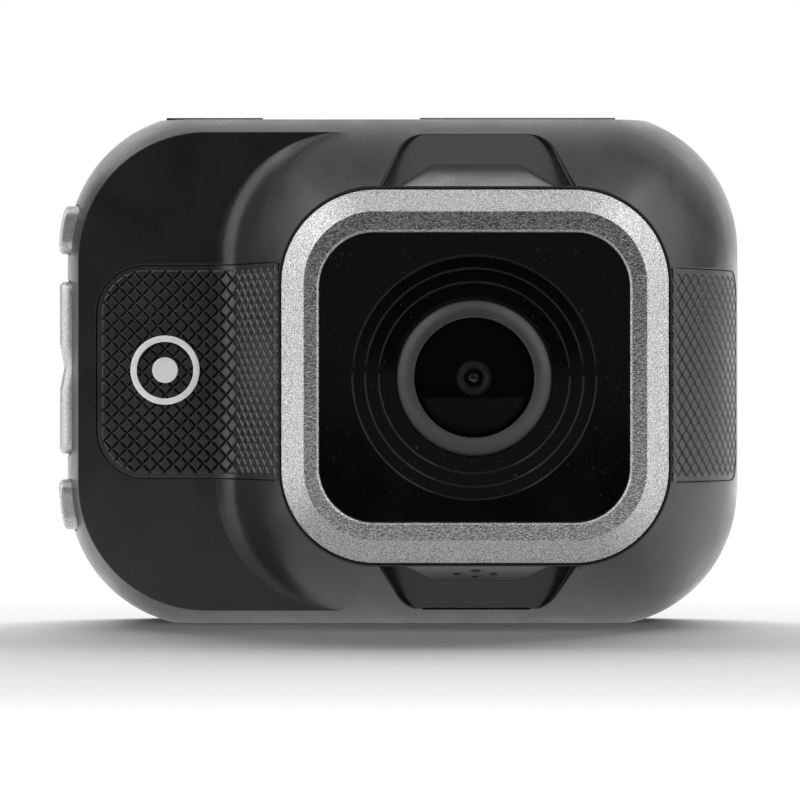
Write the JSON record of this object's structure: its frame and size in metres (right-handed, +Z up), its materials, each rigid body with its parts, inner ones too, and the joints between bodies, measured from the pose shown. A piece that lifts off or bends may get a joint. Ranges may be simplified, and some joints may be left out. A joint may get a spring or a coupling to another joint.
{
  "type": "dash camera",
  "caption": "Compact vehicle dash camera: black housing with an off-centre lens boss, silver lens bezel, knurled grip belt, side buttons, rear screen and a top channel for a windscreen bracket.",
  "frame": {"origin": "middle of the flat base, under the camera", "axes": "+Z up; +X to the right when the lens is looked at; the lens looks towards -Y"},
  "size_m": [0.0773, 0.0335, 0.058],
  "materials": {
    "housing_plastic": "fine-grained satin black",
    "shoe_plastic": "satin grey",
    "bezel_aluminium": "sand-blasted, clear anodised",
    "gloss_black": "piano-black gloss",
    "ring_satin": "black anodised satin",
    "lens_glass": "coated optical glass",
    "matt_black": "matt black",
    "sensor": "ceramic package with a glass lid",
    "filter_glass": "blue-tinted filter",
    "grip_rubber": "moulded diamond knurl",
    "emblem_silver": "bright silver print",
    "button_silver": "silver metallic paint",
    "steel": "plain",
    "board": "solder mask",
    "screen_glass": "black-framed hardened glass",
    "screen_panel": "unlit display",
    "flex": "polyimide film",
    "chip": "moulded package",
    "battery_wrap": "pouch foil",
    "lead_cover": "silicone",
    "card_plastic": "plain black card",
    "clear_plastic": "clear",
    "screw_black": "black oxide",
    "foam": "closed-cell foam"
  },
  "bodies": {
    "camera": {"aperture_baffle": "matt_black", "battery": "battery_wrap", "battery_leads": "lead_cover", "bezel_gasket": "foam", "board_screws": "steel", "button_switches": "steel", "card_socket": "steel", "emblem": "emblem_silver", "front_glass": "lens_glass", "front_housing": "housing_plastic", "grip_left": "grip_rubber", "grip_right": "grip_rubber", "housing_screws": "screw_black", "image_sensor": "sensor", "inner_lens": "lens_glass", "ir_filter": "filter_glass", "lcd_flex": "flex", "lcd_frame": "steel", "lcd_panel": "screen_panel", "lens_barrel": "ring_satin", "lens_bezel": "bezel_aluminium", "lens_holder": "matt_black", "lens_plate": "gloss_black", "lens_retainer": "ring_satin", "lens_ring": "ring_satin", "lens_screws": "steel", "light_pipes": "clear_plastic", "main_board": "board", "main_chips": "chip", "microphone": "steel", "mount_shoe": "shoe_plastic", "rear_housing": "housing_plastic", "screen_window": "screen_glass", "side_button_board": "board", "speaker": "matt_black", "usb_socket": "steel"},
    "top_button": {"top_button": "button_silver"},
    "rocker_button": {"rocker_button": "button_silver"},
    "bottom_button": {"bottom_button": "button_silver"},
    "memory_card": {"memory_card": "card_plastic"}
  },
  "joints": [
    {"name": "top_button_press", "type": "slide", "parent": "camera", "child": "top_button", "axis": [1, 0, 0], "range_m": [0, 0.00035]},
    {"name": "bottom_button_press", "type": "slide", "parent": "camera", "child": "bottom_button", "axis": [1, 0, 0], "range_m": [0, 0.00035]},
    {"name": "rocker_tilt", "type": "hinge", "parent": "camera", "child": "rocker_button", "pos_m": [-0.0356, -0.004, 0.0291], "axis": [0, 1, 0], "range_deg": [-2, 2]},
    {"name": "card_slide", "type": "slide", "parent": "camera", "child": "memory_card", "axis": [0, 0, 1], "range_m": [-0.0005, 0.012]}
  ]
}
